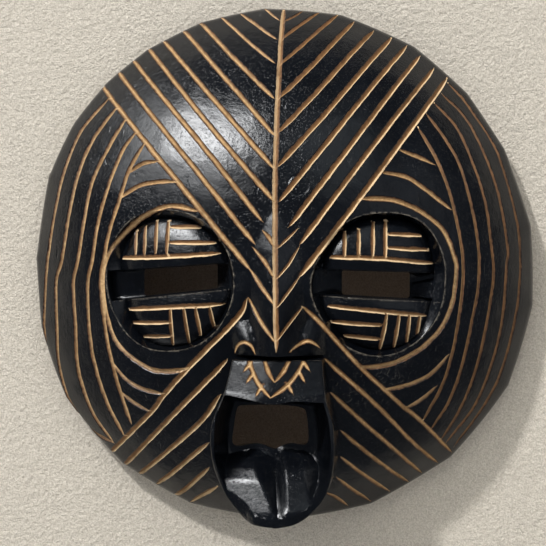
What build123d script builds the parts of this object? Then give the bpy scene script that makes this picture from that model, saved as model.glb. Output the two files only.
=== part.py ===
from build123d import *
import math
import os

# Carved wooden wall mask, millimetres.
# Frame: +Z up, +X to the viewer's right, the face looks along -Y.
# Origin: on the wall plane (y = 0), level with the middle of the round outline.

# ---------------------------------------------------------------- driving dimensions
WIDTH = 302.0               # across the round outline
HEIGHT = 309.0              # the outline is a little taller than wide
STAND_OFF = 4.0             # bumpers hold the wood this far off the wall
RIM_WALL = 9.0              # straight side of the rim, front to back
RIM_ROUND = 10.0            # rounding where the side turns into the dome
DOME_RADIUS = 192.0         # radius of the domed front
SHELL = 22.0                # wood between the front and the hollow at the middle

EYE_X = 60.0                # eye centres, each side of the middle
EYE_Z = -10.5
EYE_WIDTH = 72.0
EYE_HEIGHT = 80.0
EYE_SINK = 11.0             # floor of the eye socket below the dome
EYEBALL_PROUD = 9.0         # lids stand this far above the socket floor
LID_BULGE = 16.0            # crown of the bulging lids
LID_SPREAD = 1.12           # the bulge runs on past the socket's edge
LID_SLOT = 17.0             # open height between the lids
SIGHT_X = 59.0              # middle and width of the part that goes right through
SIGHT_WIDTH = 61.0
SLOT_ROUND = 3.0
SLOT_TILT = 3.0             # degrees, outer ends lower

NOSE_TOP_Z = 34.0
NOSE_TIP_Z = -49.0
NOSE_HALF_WIDTH = 21.0      # across the wings, half
NOSE_FRONT = 99.0           # nose tip, from the wall
NOSE_RIDGE = 0.14           # width of the ridge, as a share of the wings
NOSE_ROOT = 6.0             # the nose is rooted this far under the dome
# (share of the fall, share of the half width, share of the tip's rise)
NOSE_SECTIONS = ((0.0, 0.06, 0.01), (0.3, 0.55, 0.32), (0.7, 0.72, 0.72), (1.0, 1.0, 1.0))

MUZZLE_TOP_Z = -54.0
MUZZLE_MID_Z = -98.0
MUZZLE_BOTTOM_Z = -146.0
MUZZLE_HALF_TOP = 25.0
MUZZLE_HALF_MID = 34.0
MUZZLE_FRONT = 102.0        # front of the lips, from the wall
MUZZLE_DRAFT = 3.0          # its sides lean out this much towards the root
MUZZLE_BULGE = 2.4          # swelling of its upper sides
LIP_BAR_BOTTOM_Z = -77.5    # lower edge of the upper lip
MOUTH_HALF_WIDTH = 21.0
MOUTH_TOP_Z = -80.0
MOUTH_BOTTOM_Z = -104.0
MOUTH_FLOOR = 76.0          # where the flared mouth meets the through hole
THROAT_ROUND = 3.0
FLARE_INSET = 5.0           # the flare starts this far inside the muzzle's outline
FLARE_LIFT = 7.0            # and this far above its bottom
FLARE_ROUND = 22.0

LIP_EDGE = 4.0              # sharp edge left standing round the lower lip
LOBE_HALF_WIDTH = 14.5      # the lower lip is two swelling lobes
LOBE_HALF_HEIGHT = 23.0
LOBE_X = 13.4               # under the half width, so that the lobes run into each other
LOBE_Z = -121.0

HOLLOW_Z = -10.0            # middle of the hollow back
HOLLOW_HALF_WIDTH = 118.0
HOLLOW_HALF_HEIGHT = 114.0

STRAP_WIDTH = 10.0
SHEET = 0.8                 # sheet steel, folded double
WIRE = 2.2                  # ring wire
RING_FIT = 0.1              # barrel bore over the wire
BARREL_Z = 135.0
STRAP_BOTTOM_Z = 108.0
SCREW_Z = (127.0, 114.0)    # upper and lower screw
SCREW_SHANK = 3.0
SCREW_LENGTH = 14.0         # under the strap, into the wood
SCREW_POINT = 4.0           # length of its point
SCREW_HEAD = 6.4
HEAD_RISE = 1.9
HEAD_EDGE = 0.5             # upright edge under the round head
DRIVER_SLOT = 0.9           # width and depth of the slot across the head
STRAP_HOLE = 3.6
STRAP_ROUND = 4.0           # rounded lower corners
RING_HALF_WIDTH = 7.4       # to the middle of the wire
RING_REACH = 13.8           # barrel to the middle of the wire at the top
RING_BEND = 2.2             # bend where the wire turns into the straight side

BUMPER_WIDTH = 12.0
BUMPER_X = 84.0
BUMPER_Z = -111.0
BUMPER_CHAMFER = 0.5

# ---------------------------------------------------------------- worked out
half_w = WIDTH / 2
stretch = HEIGHT / WIDTH
rim_front = STAND_OFF + RIM_WALL
dome_drop = DOME_RADIUS - math.sqrt(DOME_RADIUS**2 - half_w**2)
dome_front = rim_front + dome_drop
dome_centre = dome_front - DOME_RADIUS
barrel_outer = WIRE + RING_FIT + 2 * SHEET
barrel_y = -STAND_OFF + barrel_outer / 2
strap_face = -STAND_OFF + 2 * SHEET

os.makedirs("parts", exist_ok=True)


def dome_depth(x, z):
    """Distance of the domed front from the wall."""
    reach = math.hypot(x, z / stretch)
    return dome_centre + math.sqrt(DOME_RADIUS**2 - reach**2)


def eye_plane(side, lift):
    """Plane square to the dome at an eye, lift mm in front of the dome's surface."""
    centre = Vector(0, -dome_centre, 0)
    on_dome = Vector(side * EYE_X, -dome_depth(EYE_X, EYE_Z), EYE_Z)
    outward = (on_dome - centre).normalized()
    return Plane(origin=on_dome + outward * lift, x_dir=(1, 0, 0), z_dir=outward)


def eye_face(side):
    """Upright plane at the back of the wood, centred on an eye and tilted with its slot."""
    tilt = Plane.XZ.rotated((0, side * SLOT_TILT, 0))
    return Plane(origin=(side * EYE_X, -STAND_OFF, EYE_Z), x_dir=tilt.x_dir, z_dir=tilt.z_dir)


def muzzle_outline(grow):
    """Outline of the open muzzle, seen from the front, grown all round."""
    top = MUZZLE_TOP_Z + grow / 2
    half_top = MUZZLE_HALF_TOP + grow
    half_mid = MUZZLE_HALF_MID + grow
    drop = MUZZLE_MID_Z - MUZZLE_BOTTOM_Z + grow / 2
    bulge = (half_top + half_mid) / 2 + MUZZLE_BULGE
    middle = (top + MUZZLE_MID_Z) / 2
    Line((-half_top, top), (half_top, top))
    ThreePointArc((half_top, top), (bulge, middle), (half_mid, MUZZLE_MID_Z))
    EllipticalCenterArc((0, MUZZLE_MID_Z), half_mid, drop, 180, arc_size=180)
    ThreePointArc((-half_mid, MUZZLE_MID_Z), (-bulge, middle), (-half_top, top))


# ---------------------------------------------------------------- the wooden body
# One block of wood: domed front, sunk eyes with slotted lids, wedge nose, open
# muzzle and a hollowed back. It is worked the way a carver works it, from the
# turned dome inwards.

with BuildPart() as eye_pockets:
    for side in (-1, 1):
        with BuildSketch(Plane.XZ.offset(rim_front)) as pocket:
            with Locations((side * EYE_X, EYE_Z)):
                Ellipse(EYE_WIDTH / 2, EYE_HEIGHT / 2)
        extrude(amount=DOME_RADIUS / 2)

with BuildPart() as eye_floor:
    with BuildSketch(Plane.XY) as floor_section:
        with BuildLine():
            low = -rim_front
            floor_radius = DOME_RADIUS - EYE_SINK
            floor_half = math.sqrt(floor_radius**2 - (rim_front - dome_centre) ** 2)
            Polyline((0, -dome_centre - floor_radius), (0, low), (floor_half, low))
            RadiusArc((floor_half, low), (0, -dome_centre - floor_radius), floor_radius)
        make_face()
    revolve(axis=Axis.Y)
    scale(by=(1, 1, stretch))

with BuildPart() as lid_gaps:
    for side in (-1, 1):
        with BuildSketch(eye_face(side)):
            Rectangle(EYE_WIDTH, LID_SLOT)
        extrude(amount=DOME_RADIUS / 2)

with BuildPart() as lid_bulge:
    Sphere(EYE_WIDTH / 2)
    scale(by=(LID_SPREAD, LID_SPREAD * EYE_HEIGHT / EYE_WIDTH, LID_BULGE / (EYE_WIDTH / 2)))

with BuildPart() as eyeballs:
    for side in (-1, 1):
        with Locations(eye_plane(side, EYEBALL_PROUD - EYE_SINK - LID_BULGE)):
            add(lid_bulge.part)
    add(eye_pockets.part, mode=Mode.INTERSECT)
    add(lid_gaps.part, mode=Mode.SUBTRACT)

with BuildPart() as sight_slots:
    for side in (-1, 1):
        with BuildSketch(eye_face(side)):
            with Locations((side * (SIGHT_X - EYE_X), 0)):
                RectangleRounded(SIGHT_WIDTH, LID_SLOT, SLOT_ROUND)
        extrude(amount=DOME_RADIUS / 2)

with BuildPart() as hollow:
    Sphere(HOLLOW_HALF_WIDTH)
    depth = dome_front - SHELL - STAND_OFF
    tall = HOLLOW_HALF_HEIGHT / HOLLOW_HALF_WIDTH
    scale(by=(1, depth / HOLLOW_HALF_WIDTH, tall))

with BuildPart() as lobe:
    Sphere(LOBE_HALF_WIDTH)
    rise = (MUZZLE_FRONT - MOUTH_FLOOR) / LOBE_HALF_WIDTH
    scale(by=(1, rise, LOBE_HALF_HEIGHT / LOBE_HALF_WIDTH))

with BuildPart() as lower_lips:
    for side in (-1, 1):
        with Locations((side * LOBE_X, -MOUTH_FLOOR, LOBE_Z)):
            add(lobe.part)
    with BuildSketch(Plane.XZ.offset(rim_front)):
        with BuildLine():
            muzzle_outline(-LIP_EDGE)
        make_face()
    extrude(amount=DOME_RADIUS / 2, mode=Mode.INTERSECT)

with BuildPart() as mask_body:
    # turned blank: flat back, straight rim, rounded shoulder, domed front
    with BuildSketch(Plane.XY) as blank:
        with BuildLine() as blank_line:
            Line((0, -dome_front), (0, -STAND_OFF))
            Line((0, -STAND_OFF), (half_w, -STAND_OFF))
            Line((half_w, -STAND_OFF), (half_w, -rim_front))
            RadiusArc((half_w, -rim_front), (0, -dome_front), DOME_RADIUS)
        make_face()
        shoulder = blank.vertices().filter_by_position(Axis.X, half_w, half_w).sort_by(Axis.Y)[0]
        fillet(shoulder, radius=RIM_ROUND)
    revolve(axis=Axis.Y)
    scale(by=(1, 1, stretch))

    # eyes
    add(eye_pockets.part, mode=Mode.SUBTRACT)
    add(eye_floor.part)
    add(eyeballs.part)

    # wedge nose, from sections at falling heights
    nose_fall = NOSE_TOP_Z - NOSE_TIP_Z
    nose_rise = NOSE_FRONT - dome_depth(0, NOSE_TIP_Z)
    for fall, spread, rise in NOSE_SECTIONS:
        level = NOSE_TOP_Z - fall * nose_fall
        tip = dome_depth(0, level) + rise * nose_rise
        root = dome_depth(NOSE_HALF_WIDTH, level) - NOSE_ROOT
        wing = NOSE_HALF_WIDTH * spread
        ridge = NOSE_RIDGE * wing
        with BuildSketch(Plane.XY.offset(level)):
            with BuildLine():
                Polyline((-wing, -root), (wing, -root), (ridge, -tip), (-ridge, -tip), close=True)
            make_face()
    loft(ruled=True)

    # muzzle, a standing oval with a little draft
    with BuildSketch(Plane.XZ.offset(rim_front)) as muzzle_root:
        with BuildLine():
            muzzle_outline(MUZZLE_DRAFT)
        make_face()
    with BuildSketch(Plane.XZ.offset(MUZZLE_FRONT)) as muzzle_lip:
        with BuildLine():
            muzzle_outline(0.0)
        make_face()
    loft([muzzle_root.sketch.face(), muzzle_lip.sketch.face()])

    # hollow back
    with Locations((0, -STAND_OFF, HOLLOW_Z)):
        add(hollow.part, mode=Mode.SUBTRACT)

    # mouth: flared in front, straight through behind
    mouth_middle = (MOUTH_TOP_Z + MOUTH_BOTTOM_Z) / 2
    flare_bottom = MUZZLE_BOTTOM_Z + FLARE_LIFT
    flare_middle = (LIP_BAR_BOTTOM_Z + flare_bottom) / 2
    with BuildSketch(Plane.XZ.offset(MOUTH_FLOOR)) as throat:
        with Locations((0, mouth_middle)):
            RectangleRounded(2 * MOUTH_HALF_WIDTH, MOUTH_TOP_Z - MOUTH_BOTTOM_Z, THROAT_ROUND)
    with BuildSketch(Plane.XZ.offset(MUZZLE_FRONT + 1)) as flare:
        with Locations((0, flare_middle)):
            flare_width = 2 * (MUZZLE_HALF_MID - FLARE_INSET)
            RectangleRounded(flare_width, LIP_BAR_BOTTOM_Z - flare_bottom, FLARE_ROUND)
    loft([throat.sketch.face(), flare.sketch.face()], mode=Mode.SUBTRACT)
    add(lower_lips.part)
    extrude(throat.sketch, amount=-MOUTH_FLOOR, mode=Mode.SUBTRACT)

    # sight slots, right through the shell
    add(sight_slots.part, mode=Mode.SUBTRACT)

    # pilot holes for the hanger screws
    for height in SCREW_Z:
        with Locations(Plane((0, -STAND_OFF, height), x_dir=(1, 0, 0), z_dir=(0, 1, 0))):
            Hole(SCREW_SHANK / 2, depth=SCREW_LENGTH)

mask_body.part.label = "mask_body"
export_step(mask_body.part, "parts/mask_body.step")

# ---------------------------------------------------------------- hanger
# Two-hole strap of sheet steel, folded double round the straight side of a wire ring.

with BuildPart() as hanger_strap:
    with BuildSketch(Plane.YZ.offset(-STRAP_WIDTH / 2)):
        with Locations((barrel_y, BARREL_Z)):
            Circle(barrel_outer / 2)
        with Locations(((-STAND_OFF + strap_face) / 2, (BARREL_Z + STRAP_BOTTOM_Z) / 2)):
            Rectangle(strap_face + STAND_OFF, BARREL_Z - STRAP_BOTTOM_Z)
        with Locations((barrel_y, BARREL_Z)):
            Circle((WIRE + RING_FIT) / 2, mode=Mode.SUBTRACT)
    extrude(amount=STRAP_WIDTH)
    lower_edges = hanger_strap.edges().filter_by(Axis.Y).group_by(Axis.Z)[0]
    fillet(lower_edges, radius=STRAP_ROUND)
    for height in SCREW_Z:
        with Locations(Plane((0, strap_face, height), x_dir=(1, 0, 0), z_dir=(0, 1, 0))):
            Hole(STRAP_HOLE / 2)

hanger_strap.part.label = "hanger_strap"
export_step(hanger_strap.part, "parts/hanger_strap.step")

with BuildPart() as ring:
    # one half, drawn flat: x along the straight side, y away from the barrel
    with BuildLine() as ring_path:
        corner = RING_HALF_WIDTH - RING_BEND
        bar = Line((0, 0), (corner, 0))
        bend = JernArc(bar @ 1, bar % 1, RING_BEND, 90)
        side_run = Line(bend @ 1, (RING_HALF_WIDTH, RING_REACH - RING_HALF_WIDTH))
        JernArc(side_run @ 1, side_run % 1, RING_HALF_WIDTH, 90)
    with BuildSketch(Plane.YZ):
        Circle(WIRE / 2)
    sweep(path=ring_path.wires()[0])
    mirror(about=Plane.YZ)

ring_plane = Plane(origin=(0, barrel_y, BARREL_Z), x_dir=(1, 0, 0), z_dir=(0, -1, 0))
hanger_ring = ring_plane * ring.part
hanger_ring.label = "hanger_ring"
export_step(hanger_ring, "parts/hanger_ring.step")

for height, name in zip(SCREW_Z, ("hanger_screw_upper", "hanger_screw_lower")):
    shank = SCREW_SHANK / 2
    head = SCREW_HEAD / 2
    tip = -STAND_OFF - SCREW_LENGTH
    crown = strap_face + HEAD_RISE
    with BuildPart() as screw:
        with BuildSketch(Plane.XY) as screw_half:
            with BuildLine():
                Polyline((0, crown), (0, tip), (shank, tip + SCREW_POINT), (shank, strap_face))
                Line((shank, strap_face), (head, strap_face))
                Line((head, strap_face), (head, strap_face + HEAD_EDGE))
                TangentArc((0, crown), (head, strap_face + HEAD_EDGE), tangent=(1, 0))
            make_face()
        revolve(axis=Axis.Y)
        with Locations((0, crown, 0)):
            Box(SCREW_HEAD, 2 * DRIVER_SLOT, DRIVER_SLOT, mode=Mode.SUBTRACT)
    placed = Pos(0, 0, height) * screw.part
    placed.label = name
    export_step(placed, f"parts/{name}.step")

# ---------------------------------------------------------------- bumpers
# Felt dots low on the rim keep the mask off the wall.

for side, name in ((-1, "bumper_left"), (1, "bumper_right")):
    with BuildPart() as bumper:
        with BuildSketch(Plane.XZ):
            with Locations((side * BUMPER_X, BUMPER_Z)):
                Circle(BUMPER_WIDTH / 2)
        extrude(amount=STAND_OFF)
        chamfer(bumper.faces().sort_by(Axis.Y)[-1].edges(), length=BUMPER_CHAMFER)
    bumper.part.label = name
    export_step(bumper.part, f"parts/{name}.step")
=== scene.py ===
import math

import bmesh
import bpy
import numpy as np
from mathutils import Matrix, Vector, geometry, kdtree, noise


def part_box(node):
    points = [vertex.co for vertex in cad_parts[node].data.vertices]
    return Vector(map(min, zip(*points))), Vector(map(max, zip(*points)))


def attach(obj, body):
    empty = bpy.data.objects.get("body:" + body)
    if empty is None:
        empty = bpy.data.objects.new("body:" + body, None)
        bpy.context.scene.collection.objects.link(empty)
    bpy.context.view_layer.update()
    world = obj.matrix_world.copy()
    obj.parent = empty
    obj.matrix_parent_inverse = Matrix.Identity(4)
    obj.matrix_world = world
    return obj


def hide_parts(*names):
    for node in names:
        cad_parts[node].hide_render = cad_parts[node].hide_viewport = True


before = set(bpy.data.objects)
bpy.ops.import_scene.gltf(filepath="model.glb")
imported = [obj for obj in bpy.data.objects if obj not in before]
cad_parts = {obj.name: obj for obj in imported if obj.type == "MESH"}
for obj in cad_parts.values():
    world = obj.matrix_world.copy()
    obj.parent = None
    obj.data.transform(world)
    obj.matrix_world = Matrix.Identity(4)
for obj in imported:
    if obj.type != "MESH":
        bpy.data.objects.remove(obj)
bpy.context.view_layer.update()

# Carved wooden wall mask. Sizes are millimetres until a mesh is made.
# x to the viewer's right, z up, and depth d measured from the wall towards the viewer (y = -d).
MM = 0.001

# ---- the turned blank
body_low, body_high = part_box("mask_body")
HALF_W = (body_high.x - body_low.x) / 2 / MM
HALF_H = (body_high.z - body_low.z) / 2 / MM
STRETCH = HALF_H / HALF_W  # the outline is a little taller than wide
BACK_D = -body_high.y / MM  # the flat back rim stands off the wall
DOME_R = 192.0  # radius of the domed front
SHOULDER_R = 10.0  # rounding from the dome into the side
RIM_D = 13.0  # dome carried on to the rim would end here
DOME_MID = RIM_D - math.sqrt(DOME_R**2 - HALF_W**2)
SHOULDER_X = HALF_W - SHOULDER_R
SHOULDER_D = DOME_MID + math.sqrt((DOME_R - SHOULDER_R)**2 - SHOULDER_X**2)
SHOULDER_A = math.atan2(SHOULDER_X, SHOULDER_D - DOME_MID)
DOME_REACH = DOME_R * math.sin(SHOULDER_A)
EDGE_CHAMFER = 1.0
RUN_DOME = DOME_R * SHOULDER_A  # arc lengths from the crown outwards
RUN_SHOULDER = RUN_DOME + SHOULDER_R * (math.pi / 2 - SHOULDER_A)
RUN_SIDE = RUN_SHOULDER + SHOULDER_D - BACK_D - EDGE_CHAMFER
RUN_END = RUN_SIDE + EDGE_CHAMFER * math.sqrt(2)

HOLLOW_Z = -10.0  # hollow back: half an ellipsoid
HOLLOW_W = 118.0
HOLLOW_H = 114.0
HOLLOW_DEEP = 60.4

GRID = 1.7  # spacing of the free mesh points
HEX = 0.866  # and of their rows, as a share of it
STEP = 1.5  # spacing of points along a cut line
SPLINE_STEPS = 24  # steps of a smooth curve between two given points
TINY = 1e-6  # keeps a division by a length from failing


def reach_of(run):
    """Front-view radius, depth and slope angle at an arc length from the crown."""
    run = np.asarray(run, float)
    angle = np.minimum(run / DOME_R, SHOULDER_A)
    reach = DOME_R * np.sin(angle)
    depth = DOME_MID + DOME_R * np.cos(angle)
    bend = np.clip((run - RUN_DOME) / SHOULDER_R + SHOULDER_A, SHOULDER_A, math.pi / 2)
    past = run > RUN_DOME
    reach = np.where(past, SHOULDER_X + SHOULDER_R * np.sin(bend), reach)
    depth = np.where(past, SHOULDER_D + SHOULDER_R * np.cos(bend), depth)
    angle = np.where(past, bend, angle)
    side = np.clip(run - RUN_SHOULDER, 0, RUN_SIDE - RUN_SHOULDER)
    chamfer = np.clip(run - RUN_SIDE, 0, None) / math.sqrt(2)
    return reach - chamfer, depth - side - chamfer, angle


def run_of(reach):
    """Arc length from the crown at a front-view radius, up to the widest point."""
    reach = np.asarray(reach, float)
    on_dome = DOME_R * np.arcsin(np.clip(reach / DOME_R, 0, math.sin(SHOULDER_A)))
    bend = np.arcsin(np.clip((reach - SHOULDER_X) / SHOULDER_R, 0, 1))
    on_shoulder = RUN_DOME + SHOULDER_R * (bend - SHOULDER_A)
    return np.where(reach > DOME_REACH, on_shoulder, on_dome)


def flatten(points):
    """Front view (x, z) to the flattened skin of the dome (u, v)."""
    p = np.asarray(points, float).reshape(-1, 2)
    level = p * (1, 1 / STRETCH)
    reach = np.hypot(level[:, 0], level[:, 1])
    return level * (run_of(reach) / np.maximum(reach, TINY))[:, None]


def unflatten(skin):
    """Flattened skin (u, v) to front view (x, z), depth and outward normal."""
    run = np.hypot(skin[:, 0], skin[:, 1])
    way = skin / np.maximum(run, TINY)[:, None]
    reach, depth, angle = reach_of(run)
    front = way * reach[:, None] * (1, STRETCH)
    sideways = way * np.sin(angle)[:, None]
    out = np.column_stack((sideways[:, 0], -np.cos(angle), sideways[:, 1] / STRETCH))
    return front, depth, unit(out)


def dome(x, z):
    """Depth of the plain dome."""
    reach = np.minimum(np.hypot(x, np.asarray(z) / STRETCH), DOME_REACH)
    return DOME_MID + np.sqrt(DOME_R**2 - reach**2)


def unit(vectors):
    """Each vector at length 1."""
    return vectors / np.linalg.norm(vectors, axis=1)[:, None]


def ramp(value, low, high):
    """0 below low, 1 above high, smooth between."""
    t = np.clip((value - low) / (high - low), 0, 1)
    return t * t * (3 - 2 * t)


def between(a, b, c, d, t):
    """Smooth curve through a, b, c and d, from b (t = 0) to c (t = 1)."""
    square = (2 * a - 5 * b + 4 * c - d) * t**2
    return 0.5 * (2 * b + (c - a) * t + square + (3 * b - a - 3 * c + d) * t**3)


def evenly(line, step):
    """Points along a polyline, evenly spaced: by a length, or in a whole number of steps."""
    along = np.concatenate(([0], np.cumsum(np.linalg.norm(np.diff(line, axis=0), axis=1))))
    count = step if isinstance(step, int) else max(2, round(along[-1] / step))
    at = np.linspace(0, along[-1], count + 1)
    return np.column_stack([np.interp(at, along, line[:, k]) for k in range(2)])


def spline(points, step):
    """Points at an even spacing along a smooth curve through the given points."""
    p = np.asarray(points, float)
    p = np.vstack((2 * p[0] - p[1], p, 2 * p[-1] - p[-2]))
    t = np.linspace(0, 1, SPLINE_STEPS, endpoint=False)[:, None]
    fine = [between(a, b, c, d, t) for a, b, c, d in zip(p, p[1:], p[2:], p[3:])]
    return evenly(np.vstack(fine + [p[-2][None]]), step)


def full_turn(count):
    """Points on a circle of radius 1, from the top."""
    angle = np.linspace(0, 2 * math.pi, count, endpoint=False)
    return np.column_stack((np.sin(angle), np.cos(angle)))


def placed(front, depth):
    """Front view points at their depths, as (x, y, z)."""
    return np.column_stack((front[:, 0], -depth, front[:, 1]))


def nearest(points, line):
    """Distance from each point to a polyline, with the place along it as a fractional index."""
    a, b = line[:-1], line[1:]
    ab = b - a
    square = np.maximum((ab**2).sum(1), 1e-12)
    t = np.clip(((points[:, None] - a) * ab).sum(2) / square, 0, 1)
    gap = np.linalg.norm(points[:, None] - a - t[..., None] * ab, axis=2)
    k = gap.argmin(1)
    row = np.arange(len(points))
    return gap[row, k], k + t[row, k]


def wander(x, z, scale, seed):
    """Smooth noise over the front view, about -1 to 1."""
    return np.array([noise.noise(Vector((a / scale, b / scale, seed))) for a, b in zip(x, z)])


# ---- cut lines
# Points of each line in the front view; all_cuts gives the widths.
FOREHEAD_LEFT = (
    ((-13, 154), (-7, 150), (-2, 146)),
    ((-26, 151), (-14, 142), (-3, 134)),
    ((-38, 149), (-20, 133), (-3, 119)),
    ((-52, 147), (-26, 121), (-2, 97)),
    ((-62, 142), (-29, 107), (-1, 75)),
    ((-74, 136), (-35, 94), (-1, 56)),
    ((-82, 130), (-38, 80), (0, 37)),
    ((-92, 124), (-45, 72), (-7, 26)),
    ((-100, 116), (-51, 61), (-11, 13)),
    ((-110, 108), (-58, 50), (-14, -1)),
)
FOREHEAD_RIGHT = (
    ((11, 153), (6, 149), (0, 145)),
    ((21, 152), (10, 143), (0, 134)),
    ((32, 150), (16, 134), (0, 118)),
    ((42, 146), (21, 120), (0, 97)),
    ((54, 141), (27, 107), (1, 77)),
    ((65, 137), (33, 95), (1, 57)),
    ((74, 132), (37, 82), (2, 37)),
    ((82, 126), (44, 72), (8, 23)),
    ((91, 119), (51, 64), (14, 13)),
    ((99, 113), (56, 51), (14, -5)),
)
NOSE_LINES = (
    ((-7, 21), (-3, 17), (0, 12)),
    ((-12, 11), (-5, 3), (0, -5)),
    ((-14, -1), (-6, -12), (0, -20)),
    ((-15, -17), (-7, -31), (1, -41)),
    ((13, 22), (7, 16), (2, 11)),
    ((14, 12), (8, 2), (2, -6)),
    ((14, -5), (8, -14), (2, -22)),
    ((16, -22), (8, -32), (2, -41)),
)
ARCS_LEFT = (
    ((-104, 99), (-120, 80), (-129, 60), (-136, 35), (-142, 3), (-144, -17), (-144, -38),
     (-141, -57), (-130, -81), (-118, -102)),
    ((-98, 94), (-112, 75), (-121, 55), (-127, 30), (-132, 3), (-136, -11), (-135, -38),
     (-134, -59), (-128, -79), (-117, -97), (-101, -106)),
    ((-92, 87), (-103, 69), (-112, 50), (-117, 26), (-121, 3), (-124, -11), (-123, -32),
     (-121, -61), (-113, -87), (-101, -106)),
    ((-85, 79), (-94, 66), (-102, 44), (-108, 22), (-111, 3), (-114, -11), (-114, -36),
     (-111, -58), (-105, -78), (-94, -101)),
    ((-79, 72), (-88, 56), (-93, 40), (-99, 22), (-103, 4), (-105, -10), (-103, -36), (-99, -60),
     (-94, -79), (-89, -94)),
)
ARCS_RIGHT = (
    ((81, 80), (90, 65), (97, 49), (102, 32), (106, 11), (107, -5), (105, -26), (101, -50),
     (95, -70), (84, -91)),
    ((86, 89), (97, 74), (105, 60), (111, 39), (116, 11), (116, -11), (112, -33), (107, -57),
     (99, -80), (89, -96)),
    ((91, 96), (104, 82), (112, 65), (120, 39), (124, 11), (125, -6), (121, -34), (115, -60),
     (106, -84), (95, -103)),
    ((96, 102), (108, 91), (118, 74), (128, 47), (134, 11), (133, -1), (130, -35), (122, -64),
     (113, -85), (98, -105)),
    ((100, 110), (113, 95), (127, 74), (137, 45), (142, 11), (141, -14), (137, -38), (130, -62),
     (118, -87), (103, -108)),
)
RINGS = (
    ((-45, 32), (-61, 35), (-76, 30), (-88, 21), (-98, 10), (-103, -2), (-103, -20), (-99, -38),
     (-92, -49), (-77, -59), (-65, -61), (-51, -59)),
    ((48, 39), (61, 39), (71, 37), (85, 30), (96, 20), (102, 5), (103, -2), (101, -19),
     (95, -34), (84, -46), (70, -54), (57, -57), (47, -57)),
)
BRANCHES = (
    ((-88, 55), (-79, 60), (-70, 61)),
    ((-93, 40), (-81, 47), (-69, 49), (-58, 49)),
    ((-100, -57), (-91, -67), (-81, -72), (-67, -75)),
    ((-95, -75), (-87, -81), (-77, -86)),
    ((71, 67), (82, 63), (90, 59)),
    ((61, 54), (73, 52), (83, 46), (100, 33)),
    ((62, -71), (77, -68), (89, -62), (99, -51)),
    ((75, -82), (83, -78), (92, -70)),
)
CHEEKS = (
    ((-16, -18), (-22, -29), (-52, -59), (-68, -76), (-77, -87), (-105, -113)),
    ((-28, -53), (-59, -84), (-97, -121)),
    ((-33, -74), (-50, -95), (-89, -127)),
    ((-42, -104), (-60, -119), (-77, -132)),
    ((-43, -120), (-55, -131), (-67, -139)),
    ((-39, -132), (-47, -137), (-56, -142)),
    ((16, -22), (27, -33), (47, -56), (61, -70), (73, -82), (83, -91), (101, -112)),
    ((28, -52), (57, -80), (77, -103), (93, -119)),
    ((31, -72), (53, -94), (69, -110), (84, -126)),
    ((36.5, -95.5), (56, -114), (76, -132)),
    ((36, -112), (51, -126), (64, -137)),
    ((33.5, -126), (43, -135), (52, -142)),
    ((27, -136), (33, -140), (39, -146)),
)
LID_LONG = (
    ((-91, 5), (-62, 6), (-32, 8)),
    ((-87, -25), (-60, -23), (-30, -21)),
    ((32, 6), (60, 5), (90, 2)),
    ((31, -22), (60, -25), (86, -28)),
)
LID_SHORT = (
    ((-83, 20), (-83, 7)), ((-77, 23), (-77, 7)), ((-70, 26), (-70, 8)), ((-63, 26), (-63, 8)),
    ((-61, 23), (-43, 23)), ((-61, 14), (-35, 14)),
    ((-86, -33), (-61, -32)), ((-79, -41), (-62, -40)),
    ((-61, -24), (-61, -45)), ((-53, -24), (-51, -44)), ((-46, -24), (-44, -39)),
    ((-38, -23), (-36, -35)),
    ((39, 20), (39, 6)), ((47, 21), (47, 6)), ((55, 25), (55, 6)), ((62, 26), (62, 5)),
    ((64, 19), (82, 18)), ((64, 11), (86, 10)),
    ((32, -31), (60, -33)), ((39, -39), (59, -41)),
    ((63, -27), (59, -47)), ((70, -27), (67, -46)), ((76, -27), (74, -45)), ((82, -28), (80, -40)),
)
NOSTRILS = (
    ((-23, -48), (-21, -44), (-17, -42), (-13, -44), (-11, -48)),
    ((10, -46), (14, -43), (19, -41), (23, -43), (25, -45)),
)
LIP_LINES = (
    ((-14, -51.5), (-11.5, -58), (-8, -64.5), (-1, -72)),
    ((-5, -51.5), (-2.5, -58), (1, -63.5)),
    ((9, -51.5), (5.5, -58), (1, -63.5)),
    ((17, -51.5), (14, -58), (8.5, -65), (-1, -72)),
)
LIP_BARBS = (
    ((-12.5, -53), (-17, -58.5)), ((-11, -58.5), (-15, -64.5)), ((-6, -65.5), (-9.5, -71.5)),
    ((16.5, -52.5), (20.5, -58)), ((14, -57.5), (18, -64)), ((8, -64.5), (11.5, -70)),
)
CENTRE_LINE = (((0, 154), (0, 120), (0, 85), (0, 40), (1, 0), (2, -46)),)
TAPER = 9.0  # length over which each end of a cut narrows
WOBBLE = 0.12  # unevenness of its width, as a share of it
DRIFT = 0.2  # and of its line, to each side
PAINTED_SHADE_REACH = 1.3  # painted light and shade on a leaned cut's walls is kept this far out, in half widths
VALLEY_LIGHT_SHADE = 0.6  # painted light and shade value along a leaned cut's valley
WALL_LIGHT_SHADE_STEP = 0.4  # and how far it changes up each wall: down on the narrow wall (painted light), up on the wide one (painted shade)
SEED_STEP = 1.7  # between one cut's unevenness and the next's
UPRIGHT = 8  # a short lid line that falls more than this is an upright one


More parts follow.
